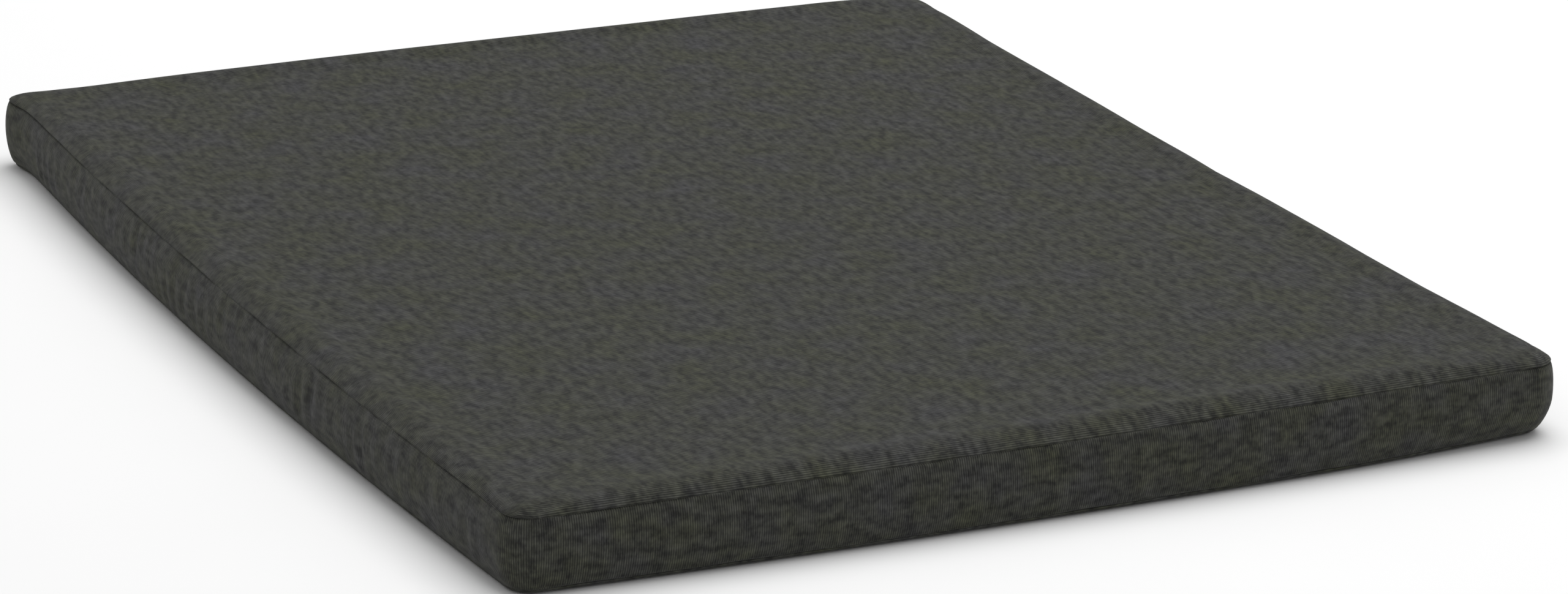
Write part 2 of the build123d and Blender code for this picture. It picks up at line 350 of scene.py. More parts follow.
core_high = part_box("felt_layer_top")[1]
wadding_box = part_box("wadding_top")[1]
pad_thickness = wadding_box.z - core_high.z
band_thickness = wadding_box.x - SEAM_ROOM - core_high.x
points, top_faces, bottom_faces, side_faces = wrapping("wadding_top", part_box("wadding_bottom")[0].z,
                                                       wadding_box.z, WADDING_CORNER, WADDING_STEP)
for name, node, faces, thickness in (("wadding_upper_pad", "wadding_top", top_faces, pad_thickness),
                                     ("wadding_lower_pad", "wadding_bottom", bottom_faces, pad_thickness),
                                     ("wadding_band", "wadding_border", side_faces, band_thickness)):
    wadding = soft_piece(name, points, faces, wadding_material, node)
    thicken(wadding, thickness)


# INNER CASING
# A plain-woven cotton lining that holds the wadding and core together when the cover is taken off.
# It is sewn like the cover, of a top, a bottom and a border, and has no zip.
CASING_THICKNESS = 0.0006
CASING_CORNER = 0.032
CASING_STEP = 0.025
CASING_YARN = 0.0012

# Unbleached cotton: warm white and matt, its two sets of yarns drawn about twice as coarse as they are.
casing_material, tree, shader = new_material("unbleached_cotton_lining")
place = object_place(tree)
yarns = []
for direction in ("X", "Y", "Z"):
    yarns.append(add_node(tree, "ShaderNodeTexWave", {"bands_direction": direction, "Distortion": 0.4,
                                                      "Scale": 2 * math.pi / 20 / CASING_YARN},
                          {"Vector": place}).outputs["Fac"])
weave = add_node(tree, "ShaderNodeMath", {"operation": "MULTIPLY"}, {0: yarns[0], 1: yarns[1]})
weave = add_node(tree, "ShaderNodeMath", {"operation": "ADD"}, {0: weave.outputs[0], 1: yarns[2]})
slub = add_node(tree, "ShaderNodeTexNoise", {"Scale": 120.0, "Detail": 4.0}, {"Vector": place})
paint(tree, shader, slub.outputs["Fac"], "#d6cdb8", "#ece5d5")
raise_relief(tree, shader, weave.outputs[0], 0.4, 0.0003)
shader.inputs["Roughness"].default_value = 0.9

casing_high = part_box("inner_casing_top")[1]
points, top_faces, bottom_faces, side_faces = wrapping("inner_casing_top",
                                                       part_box("inner_casing_bottom")[0].z, casing_high.z,
                                                       CASING_CORNER, CASING_STEP)
casing_flat = (2 * casing_high.x, 2 * casing_high.y)
band_height = casing_high.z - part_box("inner_casing_bottom")[0].z - UPPER_EDGE[1] - LOWER_EDGE[1]
band_flat = (4 * (casing_high.x + casing_high.y) - 8 * CASING_CORNER + 2 * math.pi * CASING_CORNER,
             band_height)
for name, node, faces, flat in (("lining_upper", "inner_casing_top", top_faces, casing_flat),
                                ("lining_lower", "inner_casing_bottom", bottom_faces, casing_flat),
                                ("lining_border", "inner_casing_border", side_faces, band_flat)):
    lining = soft_piece(name, points, faces, casing_material, node)
    thicken(lining, CASING_THICKNESS)


# SEWN COVER
# The cover as it is sewn, before it is parted into its panels: a top and a bottom panel that slope to
# plain seams, and a border between them that the filling pushes out. Its rim is settled as real cloth.
TOP_SEAM_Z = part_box("cover_border_strip")[1].z
CORNER_RADIUS = 0.040
CLOTH_STEP = 0.0105
MID_Z = TOP_Z / 2
SLOPE_TOP = [(2.6, 0.0), (0.8, 0.5), (0.4, 1.4), (1.6, 2.8), (5.0, 4.9), (10.0, 7.2), (16.0, 9.3),
             (23.0, 11.1), (31.0, 12.2), (40.0, 12.7)]
ROLL_BOTTOM = [(7.0, 8.0), (7.6, 5.4), (9.4, 3.2), (12.0, 1.6), (15.0, 0.7), (18.5, 0.2), (23.0, 0.0),
               (28.0, 0.0), (33.0, 0.0), (40.0, 0.0)]
ROWS_FROM_MIDDLE = [46.2, 42.5, 37.0, 30.0, 22.0, 14.0, 7.0, 0.0, -7.0, -14.5, -22.5, -30.5, -38.0, -44.5,
                    -49.5]
OPENING_ROW = 7
BORDER_BULGE = 0.0095
ZIP_HALF_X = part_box("zip_tape_upper")[1].x
ZIP_FADE = 0.03
ZIP_FLAT_HALF = 0.021
SEAM_INSET = 0.0026

top_rim = [(inset / 1000, TOP_SEAM_Z + height / 1000) for inset, height in SLOPE_TOP]
bottom_rim = [(inset / 1000, height / 1000) for inset, height in ROLL_BOTTOM]
low_seam_z = bottom_rim[0][1]
border_rows = []
for height in ROWS_FROM_MIDDLE:
    height = MID_Z + height / 1000
    share = (TOP_SEAM_Z - height) / (TOP_SEAM_Z - low_seam_z)
    inset = top_rim[0][0] + (bottom_rim[0][0] - top_rim[0][0]) * share
    border_rows.append((inset - BORDER_BULGE * math.sin(math.pi * share) ** 0.5, height))
cover = soft_box(HALF_X, HALF_Y, CORNER_RADIUS, top_rim, bottom_rim, border_rows, CLOTH_STEP)
true_points, top_faces, bottom_faces, side_faces, border_ids, inward = cover
cover_points = relaxed(true_points)

# On the side with the zip the border is flat and straight, where the tapes hold it.
true_border = true_points[border_ids]
on_back = np.clip((true_border[..., 1] - HALF_Y + 0.02) / 0.005, 0, 1)
held_by_tape = on_back * np.clip((ZIP_HALF_X + ZIP_FADE - np.abs(true_border[..., 0])) / ZIP_FADE, 0, 1)
from_middle = np.abs(true_border[..., 2] - MID_Z)
sink = SEAM_INSET * np.clip((from_middle - ZIP_FLAT_HALF) / (TOP_SEAM_Z - MID_Z - ZIP_FLAT_HALF), 0, 1) ** 2
held_by_tape *= np.clip((TOP_SEAM_Z - MID_Z - from_middle) / 0.006, 0, 1)
border_y = cover_points[border_ids, 1]
cover_points[border_ids, 1] = border_y + (HALF_Y - sink - border_y) * held_by_tape

WANDER, WANDER_LENGTH = 0.0011, 0.09
PLEAT_PITCH, PLEAT_DEPTH = 0.037, 0.0016
SIDE_DEPTH, SIDE_FADE = 0.012, 0.008


def wander(place, seed, length):
    """A smooth value between -1 and 1 that wanders over a place on the mattress."""
    return 1.6 * noise.noise(Vector((place[0] / length, place[1] / length, place[2] / length + seed)))


# The seams wander by a millimetre, as hand-guided sewing does.
seam_numbers = np.concatenate([border_ids[0], border_ids[-1]])
for number in seam_numbers:
    place = cover_points[number].copy()
    for axis, seed in ((0, 7.0), (1, 11.0), (2, 3.0)):
        cover_points[number, axis] += WANDER * wander(place, seed, WANDER_LENGTH)

# The border is a little longer than the panels on the left side, and gathers there in upright pleats.
middle_row = true_points[border_ids[len(border_ids) // 2]]
column_step = np.linalg.norm(np.roll(middle_row, -1, axis=0) - middle_row, axis=1)
column_along = np.concatenate([[0], np.cumsum(column_step)[:-1]])
left_share = np.clip((-true_border[..., 0] - HALF_X + SIDE_DEPTH) / SIDE_FADE, 0, 1)
left_share = left_share * np.clip((HALF_Y - np.abs(true_border[..., 1])) / 0.15, 0.25, 1)
right_share = 0.5 * np.clip((true_border[..., 0] - HALF_X + SIDE_DEPTH) / SIDE_FADE, 0, 1)
front_share = 0.12 * np.clip((-true_border[..., 1] - HALF_Y + SIDE_DEPTH) / SIDE_FADE, 0, 1)
gather = np.maximum(np.maximum(left_share, right_share), front_share)
for row in range(1, len(border_ids) - 1):
    for column, number in enumerate(border_ids[row]):
        along, height = column_along[column], true_points[number, 2]
        turn = 2 * math.pi * along / PLEAT_PITCH + 2.2 * wander((along, height, 0), 1.0, 0.16)
        strength = 0.6 + 0.8 * wander((along, 1.5 * height, 0), 5.0, 0.12)
        fade = math.sin(math.pi * (TOP_SEAM_Z - height) / (TOP_SEAM_Z - low_seam_z)) ** 0.6
        depth = PLEAT_DEPTH * gather[row, column] * strength * fade * math.sin(turn)
        cover_points[number, :2] += inward[column] * depth

SIM_LINES = len(SLOPE_TOP) + 8
SIM_FRAMES = 20
MOVE_LIMIT = 0.010
PRESSURE = 3.0


def settle(points, faces, kept, hold, slack):
    """Moves the kept points as cloth under the filling's pressure; hold pins them, slack adds cloth."""
    numbers = np.flatnonzero(kept)
    renumber = np.full(len(points), -1)
    renumber[numbers] = np.arange(len(numbers))
    mesh = bpy.data.meshes.new("cover_rim")
    mesh.from_pydata(points[numbers].tolist(), [], renumber[faces[kept[faces].all(axis=1)]].tolist())
    cloth = bpy.data.objects.new("cover_rim", mesh)
    bpy.context.scene.collection.objects.link(cloth)
    for name, weights in (("hold", hold[numbers]), ("slack", slack[numbers])):
        group = cloth.vertex_groups.new(name=name)
        for value in np.unique(np.round(weights, 2)):
            group.add(np.flatnonzero(np.round(weights, 2) == value).tolist(), float(value), "REPLACE")
    modifier = cloth.modifiers.new("Cloth", "CLOTH")
    settings = modifier.settings
    settings.quality = 5
    settings.mass = 0.4
    settings.tension_stiffness = 20
    settings.compression_stiffness = 20
    settings.shear_stiffness = 8
    settings.bending_stiffness = 0.6
    settings.vertex_group_mass = "hold"
    settings.pin_stiffness = 1
    settings.vertex_group_shrink = "slack"
    settings.shrink_min = 0.0
    settings.shrink_max = -0.05
    settings.use_pressure = True
    settings.uniform_pressure_force = PRESSURE
    settings.effector_weights.gravity = 0
    modifier.collision_settings.use_collision = False
    modifier.point_cache.frame_end = SIM_FRAMES
    for number in range(1, SIM_FRAMES + 1):
        bpy.context.scene.frame_set(number)
    shaped = cloth.evaluated_get(bpy.context.evaluated_depsgraph_get()).data
    place = np.zeros(len(numbers) * 3)
    shaped.vertices.foreach_get("co", place)
    bpy.context.scene.frame_set(1)
    bpy.data.objects.remove(cloth)
    bpy.data.meshes.remove(mesh)
    move = place.reshape(-1, 3) - points[numbers]
    length = np.linalg.norm(move, axis=1)
    settled = points.copy()
    settled[numbers] += move * (np.minimum(length, MOVE_LIMIT) / np.maximum(length, 1e-9))[:, None]
    return settled


# Seams, the edge of each panel's flat middle and the cloth on the zip tapes are held; the rest gives.
lines_x = len(grid_lines(HALF_X, CORNER_RADIUS, top_rim, CLOTH_STEP))
lines_y = len(grid_lines(HALF_Y, CORNER_RADIUS, top_rim, CLOTH_STEP))
panel_count = lines_x * lines_y
column, row = np.meshgrid(np.arange(lines_x), np.arange(lines_y))
ring = np.minimum(np.minimum(column, lines_x - 1 - column), np.minimum(row, lines_y - 1 - row)).ravel()
kept = np.ones(len(cover_points), bool)
hold = np.zeros(len(cover_points))
slack = np.zeros(len(cover_points))
flat_ring = len(SLOPE_TOP) - 1
for first in (0, panel_count):
    kept[first:first + panel_count] = ring <= SIM_LINES
    hold[first:first + panel_count] = np.clip((ring - flat_ring) / (SIM_LINES - 1 - flat_ring), 0, 1)
    slack[first:first + panel_count] = 0.35 * np.clip(1 - ring / SIM_LINES, 0, 1)
hold[panel_count:2 * panel_count][ring > flat_ring - 3] = 1
slack[border_ids[1:-1]] = 0.3 + 0.7 * gather[1:-1]
hold[seam_numbers] = 1
hold[border_ids] = np.maximum(hold[border_ids], np.round(held_by_tape, 1))
cover_points = settle(cover_points, np.concatenate([top_faces, bottom_faces, side_faces]), kept, hold,
                      slack)


# UPPER COVER PANEL
# One cut of ribbed cotton cloth, its ribs parallel to the foot of the mattress. It slopes down to the
# seam, where its allowance is turned in between the border and the lining.
CLOTH_THICKNESS = 0.0012
RIB_PITCH = 0.0033
RIB_HEIGHT = 0.0005
BLOTCH = 0.10
DASH_ACROSS, DASH_ALONG = 0.0034, 0.012
MOTTLE = 0.013
DRIFT = 0.0008
PANEL_TURN_IN = [(0.5, -0.3), (1.7, -1.0), (2.4, -2.6), (2.4, -7.0), (2.4, -12.0)]

# Ribbed cotton: two dyes in one yarn, olive grey and violet grey, with painted shade that darkens the grooves
# between the ribs.
# It is matt, with the faint nap of a brushed face. The map's first axis runs across the ribs.
cloth_material, tree, shader = new_material("ribbed_space_dyed_cotton")
cloth_place = add_node(tree, "ShaderNodeUVMap", {"uv_map": "cloth"}).outputs["UV"]
drift = add_node(tree, "ShaderNodeTexNoise", {"Scale": 14.0, "Detail": 2.0}, {"Vector": cloth_place})
drift = add_node(tree, "ShaderNodeVectorMath", {"operation": "SUBTRACT", 1: (0.5, 0.5, 0.5)},
                 {0: drift.outputs["Color"]})
place = add_node(tree, "ShaderNodeVectorMath", {"operation": "MULTIPLY_ADD", 1: (DRIFT, DRIFT, 0.0)},
                 {0: drift.outputs[0], 2: cloth_place}).outputs[0]
rib = bands(tree, place, "X", RIB_PITCH)
stretched = add_node(tree, "ShaderNodeVectorMath",
                     {"operation": "MULTIPLY", 1: (1 / DASH_ACROSS, 1 / DASH_ALONG, 1.0)}, {0: place})
dash = add_node(tree, "ShaderNodeTexNoise", {"Scale": 1.0, "Detail": 3.0, "Roughness": 0.65},
                {"Vector": stretched.outputs[0]}).outputs["Fac"]
yarn = add_node(tree, "ShaderNodeTexNoise", {"Scale": 5.0, "Detail": 1.0},
                {"Vector": stretched.outputs[0]}).outputs["Fac"]
spread = add_node(tree, "ShaderNodeVectorMath",
                  {"operation": "MULTIPLY", 1: (0.5 / MOTTLE, 1 / MOTTLE, 1.0)}, {0: place})
mottle = add_node(tree, "ShaderNodeTexNoise", {"Scale": 1.0, "Detail": 1.5, "Roughness": 0.6},
                  {"Vector": spread.outputs[0]}).outputs["Fac"]
dash = add_node(tree, "ShaderNodeMath", {"operation": "MULTIPLY_ADD", 1: 1.2}, {0: mottle, 2: dash})
dash = add_node(tree, "ShaderNodeMapRange", {"From Min": 0.83, "From Max": 1.38},
                {"Value": dash.outputs[0]})
blotch = add_node(tree, "ShaderNodeTexNoise", {"Scale": 1 / BLOTCH, "Detail": 4.0, "Roughness": 0.6},
                  {"Vector": cloth_place}).outputs["Fac"]
blotch = add_node(tree, "ShaderNodeMapRange", {"From Min": 0.30, "From Max": 0.70}, {"Value": blotch})
light = add_node(tree, "ShaderNodeMix", {"data_type": "RGBA", 6: linear("#4e503e"), 7: linear("#4e4e4f")},
                 {0: blotch.outputs[0]})
dark = add_node(tree, "ShaderNodeMix", {"data_type": "RGBA", 6: linear("#25261e"), 7: linear("#262628")},
                {0: blotch.outputs[0]})
colour = add_node(tree, "ShaderNodeMix", {"data_type": "RGBA"},
                  {0: dash.outputs[0], 6: dark.outputs[2], 7: light.outputs[2]})
# Painted shade and light: the colour is darkened to 0.40 in the grooves between the ribs and lifted to 1.11
# on their crests.
between = add_node(tree, "ShaderNodeMapRange", {"To Min": 0.40, "To Max": 1.11}, {"Value": rib})
colour = add_node(tree, "ShaderNodeVectorMath", {"operation": "SCALE"},
                  {0: colour.outputs[2], "Scale": between.outputs[0]})
relief = add_node(tree, "ShaderNodeMath", {"operation": "MULTIPLY_ADD", 1: 0.25}, {0: yarn, 2: rib})
raise_relief(tree, shader, relief.outputs[0], 0.7, RIB_HEIGHT)
shader.inputs["Roughness"].default_value = 0.95
shader.inputs["Specular IOR Level"].default_value = 0.3
shader.inputs["Sheen Weight"].default_value = 0.06
shader.inputs["Sheen Roughness"].default_value = 0.5
tree.links.new(colour.outputs[0], shader.inputs["Base Color"])


def unrolled(lines, rim, half):
    """A panel's grid lines measured along its cloth, which runs down over its rim."""
    steps = [math.dist(a, b) for a, b in zip(rim[::-1], rim[-2::-1])]
    edge = half - CORNER_RADIUS + np.cumsum(steps)
    inner = lines[len(rim) - 1:len(lines) - len(rim) + 1]
    return np.concatenate([-edge[::-1], inner, edge])


def turned_row(edge, ways, inset, rise):
    """A sewn edge carried inwards and up or down; inset and rise are in millimetres."""
    return edge + np.column_stack([ways * inset / 1000, np.full(len(ways), rise / 1000)])


def turned_in(points, edge_ids, profile):
    """Rows of new points that carry a sewn edge inwards, and the numbers of all the rows from the edge."""
    rows = [points]
    ids = [edge_ids]
    for inset, rise in profile:
        row = turned_row(points[edge_ids], inward, inset, rise)
        ids.append(sum(len(r) for r in rows) + np.arange(len(row)))
        rows.append(row)
    return np.concatenate(rows), np.array(ids)


def cover_panel(name, node, first, faces, rim, seam_ids, turn_in):
    """A large panel of the cover with its allowance turned in, and its map in metres of flat cloth."""
    points, rows = turned_in(cover_points, seam_ids, turn_in)
    allowance = grid_faces(rows if turn_in[-1][1] < 0 else rows[::-1], closed=True)
    map_y = unrolled(grid_lines(HALF_Y, CORNER_RADIUS, rim, CLOTH_STEP), rim, HALF_Y)
    map_x = unrolled(grid_lines(HALF_X, CORNER_RADIUS, rim, CLOTH_STEP), rim, HALF_X)
    cloth_map = np.zeros((len(points), 2))
    cloth_map[first:first + panel_count, 0] = np.repeat(map_y, lines_x)
    cloth_map[first:first + panel_count, 1] = np.tile(map_x, lines_y)
    for above, below in zip(rows[:-1], rows[1:]):
        step = np.linalg.norm(points[below] - points[above], axis=1)[:, None]
        cloth_map[below] = cloth_map[above] - inward[:, ::-1] * step
    panel = soft_piece(name, points, np.concatenate([faces, allowance]), cloth_material, node,
                       cloth_map)
    thicken(panel, CLOTH_THICKNESS)


cover_panel("upper_panel", "cover_top_panel", 0, top_faces, top_rim, border_ids[0], PANEL_TURN_IN)


# LOWER COVER PANEL
# The same cloth under the mattress, flat where it lies and rolled up to the lower seam.
LOWER_TURN_IN = [(0.5, 0.3), (0.7, 2.0), (0.2, 4.5), (-0.4, 8.0), (-0.9, 12.0)]
cover_panel("lower_panel", "cover_bottom_panel", panel_count, bottom_faces, bottom_rim, border_ids[-1],
            LOWER_TURN_IN)


# BORDER STRIP
# One upright strip of the same cloth, its ribs running up and down, from the join at one rear corner
# round the sides and the foot to the join at the other. Its long edges are turned in along both seams.
JOIN_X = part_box("border_join_threads")[1].x
JOIN_GROOVE = 0.0018
TOP_HEM = [(0.4, 0.0), (1.5, -0.7), (2.3, -2.4), (2.3, -7.0), (2.3, -12.0)]
LOW_HEM = [(0.2, 0.2), (0.1, 2.0), (-0.5, 4.5), (-1.2, 8.0), (-1.7, 12.0)]
OPENING_HEM = [(0.7, -0.3), (1.8, -0.1), (2.4, 0.9), (2.4, 4.0), (2.4, 12.0)]
END_FOLD = [(0.2, 0.6), (0.9, 1.6), (3.0, 2.4), (12.0, 2.6)]
END_CLOTH = np.array([0.0006, 0.0018, 0.0040, 0.0130])

back_columns = np.flatnonzero(true_border[0, :, 1] > HALF_Y - 0.01)
rear_x = true_border[0, back_columns, 0]
right_join = back_columns[np.argmin(np.abs(rear_x - JOIN_X))]
left_join = back_columns[np.argmin(np.abs(rear_x + JOIN_X))]
loop_length = column_along[-1] + column_step[-1]
for join in (right_join, left_join):
    cover_points[border_ids[1:-1, join], 1] -= JOIN_GROOVE


def between_columns(rows):
    """A strip's points with one more column between each two, on a smooth curve through four."""
    padded = np.concatenate([2 * rows[:, :1] - rows[:, 1:2], rows, 2 * rows[:, -1:] - rows[:, -2:-1]], 1)
    halfway = (9 * (padded[:, 1:-2] + padded[:, 2:-1]) - padded[:, :-3] - padded[:, 3:]) / 16
    dense = np.zeros((rows.shape[0], 2 * rows.shape[1] - 1, rows.shape[2]))
    dense[:, ::2] = rows
    dense[:, 1::2] = halfway
    return dense


def border_piece(name, node, rows, columns, along, upper_hem, lower_hem, opening=None):
    """A strip of the border with its long edges and its ends turned in, mapped in metres. opening gives
    the row along the zip, the row beside it, and the height where it meets the other strip."""
    face = cover_points[border_ids[rows][:, columns]]
    if opening:
        face[opening[0]] = close_opening(face[opening[1]], opening[2])
    grid = np.concatenate([face, np.tile(np.array(along)[None, :, None], (len(face), 1, 1)),
                           np.tile(inward[columns][None], (len(face), 1, 1))], axis=2)
    grid = between_columns(grid)
    face, along, ways = grid[..., :3], grid[0, :, 3], grid[0, :, 4:]
    upper = [turned_row(face[0], ways, inset, rise) for inset, rise in upper_hem[::-1]]
    lower = [turned_row(face[-1], ways, inset, rise) for inset, rise in lower_hem]
    face = np.concatenate([upper, face, lower])
    ends = []
    for edge, beside in ((face[:, 0], face[:, 3]), (face[:, -1], face[:, -4])):
        along_face = (beside - edge) / np.abs(beside[:, :1] - edge[:, :1])
        turned = [edge + along_face * x / 1000 - (0, y / 1000, 0) for x, y in END_FOLD]
        ends.append(np.stack(turned, axis=1))
    face = np.concatenate([ends[0][:, ::-1], face, ends[1]], axis=1)
    along = np.concatenate([along[0] - END_CLOTH[::-1], along, along[-1] + END_CLOTH])
    steps = np.linalg.norm(np.diff(face, axis=0), axis=2).mean(axis=1)
    heights = TOP_Z - np.concatenate([[0], np.cumsum(steps)])
    cloth_map = np.stack(np.broadcast_arrays(along[None, :], heights[:, None]), -1).reshape(-1, 2)
    ids = np.arange(face.shape[0] * face.shape[1]).reshape(face.shape[:2])
    piece = soft_piece(name, face.reshape(-1, 3), grid_faces(ids), cloth_material, node,
                       cloth_map)
    thicken(piece, CLOTH_THICKNESS)


all_rows = np.arange(len(border_ids))
strip_columns = np.concatenate([np.arange(left_join, len(inward)), np.arange(0, right_join + 1)])
strip_along = np.concatenate([column_along[left_join:] - loop_length, column_along[:right_join + 1]])
border_piece("border_strip", "cover_border_strip", all_rows, strip_columns, strip_along, TOP_HEM, LOW_HEM)


# ZIP STRIPS
# The border behind the head of the bed is two half-height strips, hemmed along the zip between them.
# Past each end of the opening they meet, and are sewn to each other and to the border strip.
STOP_ROOM = 0.009
OPENING_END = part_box("zip_coil_upper")[1].x + STOP_ROOM
CLOSING_LENGTH = 0.012
HEM_LIFT = 0.0002
STRIP_GAP = 0.0003


def close_opening(edge, meeting_height):
    """The zip side of a strip: at its hem along the opening, and at the middle past the opening's end."""
    moved = edge.copy()
    past = np.clip((np.abs(edge[:, 0]) - OPENING_END + CLOSING_LENGTH / 2) / CLOSING_LENGTH, 0, 1)
    side = np.sign(meeting_height - edge[:, 2])
    moved[:, 2] += side * HEM_LIFT * (1 - past) + (meeting_height - edge[:, 2]) * past
    return moved


zip_columns = np.arange(right_join, left_join + 1)
zip_along = column_along[zip_columns]
low_opening_hem = [(i, -z) for i, z in OPENING_HEM]
border_piece("zip_strip_upper", "cover_zip_strip_upper", all_rows[:OPENING_ROW + 2], zip_columns,
             zip_along, TOP_HEM, OPENING_HEM, (-1, -2, MID_Z + STRIP_GAP))
border_piece("zip_strip_lower", "cover_zip_strip_lower", all_rows[OPENING_ROW + 1:], zip_columns,
             zip_along, low_opening_hem, LOW_HEM, (0, 1, MID_Z - STRIP_GAP))


# SEAM THREADS
# Spun polyester thread in lockstitch. Two lines run round the mattress inside the seams, two stand in
# the joins of the border, and two short ones close the zip strips past the ends of the opening.
THREAD_RADIUS = 0.00035
STITCH = 0.0036
SAMPLES_PER_STITCH = 4
THREAD_SIDES = 5
IN_SEAM = 0.0016
PLY_LENGTH = 0.001
PAST_OPENING = 0.008

# Polyester thread: charcoal, with a slight gloss, its ply turned about once a millimetre.
thread_material, tree, shader = new_material("spun_polyester_thread")
place = object_place(tree)
ply = bands(tree, place, "DIAGONAL", PLY_LENGTH)
paint(tree, shader, ply, "#1f1f1d", "#3a3a36")
raise_relief(tree, shader, ply, 0.5, 0.0001)
shader.inputs["Roughness"].default_value = 0.55
shader.inputs["Sheen Weight"].default_value = 0.2


def tube_rings(line, first, second, radius, sides, turned):
    """Rings of points round a line, set out between two directions across it, and their numbers."""
    angles = (np.arange(sides) + turned) * 2 * math.pi / sides
    rings = line[:, None] + radius * (np.cos(angles)[None, :, None] * first[:, None]
                                      + np.sin(angles)[None, :, None] * second[:, None])
    return rings.reshape(-1, 3), np.arange(len(line) * sides).reshape(-1, sides)


def stitched(path, outward, closed):
    """Points and faces of one thread along a path: it lies on the cloth and dips in at each stitch's end."""
    if closed:
        path, outward = np.concatenate([path, path[:1]]), np.concatenate([outward, outward[:1]])
    reach = np.concatenate([[0], np.cumsum(np.linalg.norm(np.diff(path, axis=0), axis=1))])
    stitches = max(2, round(reach[-1] / STITCH))
    stations = np.linspace(0, reach[-1], stitches * SAMPLES_PER_STITCH + 1)
    line = np.column_stack([np.interp(stations, reach, path[:, axis]) for axis in range(3)])
    out = np.column_stack([np.interp(stations, reach, outward[:, axis]) for axis in range(3)])
    out = unit(out)
    hole = np.abs(np.cos(math.pi * stations / (reach[-1] / stitches))) ** 4
    across = np.cross(unit(np.gradient(line, axis=0)), out)
    line = line + out * (THREAD_RADIUS - 3 * THREAD_RADIUS * hole)[:, None]
    if closed:
        line, out, across = line[:-1], out[:-1], across[:-1]
    points, ids = tube_rings(line, out, across, THREAD_RADIUS, THREAD_SIDES, 0)
    if closed:
        ids = np.concatenate([ids, ids[:1]])
    faces = grid_faces(ids, closed=True).tolist()
    if not closed:
        faces += [ids[0].tolist(), ids[-1][::-1].tolist()]
    return points, faces


def thread_piece(name, node, paths, closed=False):
    """A piece of one or more stitched threads."""
    vertices, faces = [], []
    for path, outward in paths:
        points, loops = stitched(path, outward, closed)
        faces += [[number + len(vertices) for number in face] for face in loops]
        vertices += points.tolist()
    mesh_piece(name, vertices, faces, thread_material, node)


inward_3d = np.column_stack([inward, np.zeros(len(inward))])
for name, node, row in (("seam_thread_upper", "cover_seam_thread_top", 0),
                        ("seam_thread_lower", "cover_seam_thread_bottom", -1)):
    seam = cover_points[border_ids[row]] + IN_SEAM * inward_3d
    thread_piece(name, node, [(seam, -inward_3d)], closed=True)

backwards = np.array([0.0, 1.0, 0.0])
join_low, join_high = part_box("border_join_threads")
paths = []
for join in (right_join, left_join):
    upright = cover_points[border_ids[:, join]]
    upright = upright[(upright[:, 2] > join_low.z) & (upright[:, 2] < join_high.z)] - IN_SEAM * backwards
    paths.append((upright, np.tile(backwards, (len(upright), 1))))
thread_piece("border_join_stitches", "border_join_threads", paths)

paths = []
strip_join_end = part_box("zip_strip_join_threads")[1].x
for side in (1, -1):
    ends = [[side * (OPENING_END + PAST_OPENING), HALF_Y, MID_Z], [side * strip_join_end, HALF_Y, MID_Z]]
    ends = np.array(ends) - IN_SEAM * backwards
    paths.append((ends, np.tile(backwards, (2, 1))))
thread_piece("strip_join_stitches", "zip_strip_join_threads", paths)


# TOPSTITCHING
# One row of stitches above the opening and one below it, through the strip, its hem and the zip tape.
for name, node in (("topstitch_upper", "zip_topstitch_upper"), ("topstitch_lower", "zip_topstitch_lower")):
    low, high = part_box(node)
    height = (low.z + high.z) / 2
    row = np.array([[high.x, HALF_Y, height], [low.x, HALF_Y, height]])
    thread_piece(name, node, [(row, np.tile(backwards, (2, 1)))])


# ZIP TAPES
# Two woven polyester tapes, sewn behind the strips with their inner edges side by side; the coils are
# sewn to those edges. They are 0.6 mm thick, with rounded selvedges.
TAPE_ROUNDING = 0.0002
TAPE_WEAVE = 0.0009

# Woven polyester: near black, a little glossy, a fine twill drawn slightly coarser than it is.
tape_material, tree, shader = new_material("woven_polyester_zip_tape")
place = object_place(tree)
turned = add_node(tree, "ShaderNodeMapping", {"Rotation": (0, math.radians(45), 0)}, {"Vector": place})
twill = bands(tree, turned.outputs[0], "X", TAPE_WEAVE)
paint(tree, shader, twill, "#161616", "#2c2c2b")
raise_relief(tree, shader, twill, 0.6, 0.0002)
shader.inputs["Roughness"].default_value = 0.7
shader.inputs["Sheen Weight"].default_value = 0.2


def finished_copy(name, node, material, body, rounding):
    """A copy of a CAD piece with its triangles merged and its sharp edges rounded, which replaces it."""
    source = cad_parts[node]
    piece = bpy.data.objects.new(name, source.data.copy())
    bpy.context.scene.collection.objects.link(piece)
    piece.matrix_world = source.matrix_world
    piece.data.materials.clear()
    piece.data.materials.append(material)
    bpy.ops.object.select_all(action="DESELECT")
    piece.select_set(True)
    bpy.context.view_layer.objects.active = piece
    bpy.ops.object.transform_apply(location=True, rotation=True, scale=True)
    bpy.ops.object.mode_set(mode="EDIT")
    bpy.ops.mesh.select_all(action="SELECT")
    bpy.ops.mesh.remove_doubles(threshold=0.00001)
    bpy.ops.mesh.dissolve_limited(angle_limit=math.radians(1))
    bpy.ops.object.mode_set(mode="OBJECT")
    edge = piece.modifiers.new("Bevel", "BEVEL")
    edge.width = rounding
    edge.segments = 2
    edge.limit_method = "ANGLE"
    edge.angle_limit = math.radians(35)
    bpy.ops.object.modifier_apply(modifier=edge.name)
    bpy.ops.object.shade_smooth_by_angle(angle=math.radians(40))
    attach(piece, body)
    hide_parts(node)
    return piece


for name, node in (("tape_upper", "zip_tape_upper"), ("tape_lower", "zip_tape_lower")):
    tape = finished_copy(name, node, tape_material, "mattress", TAPE_ROUNDING)
    low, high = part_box(node)


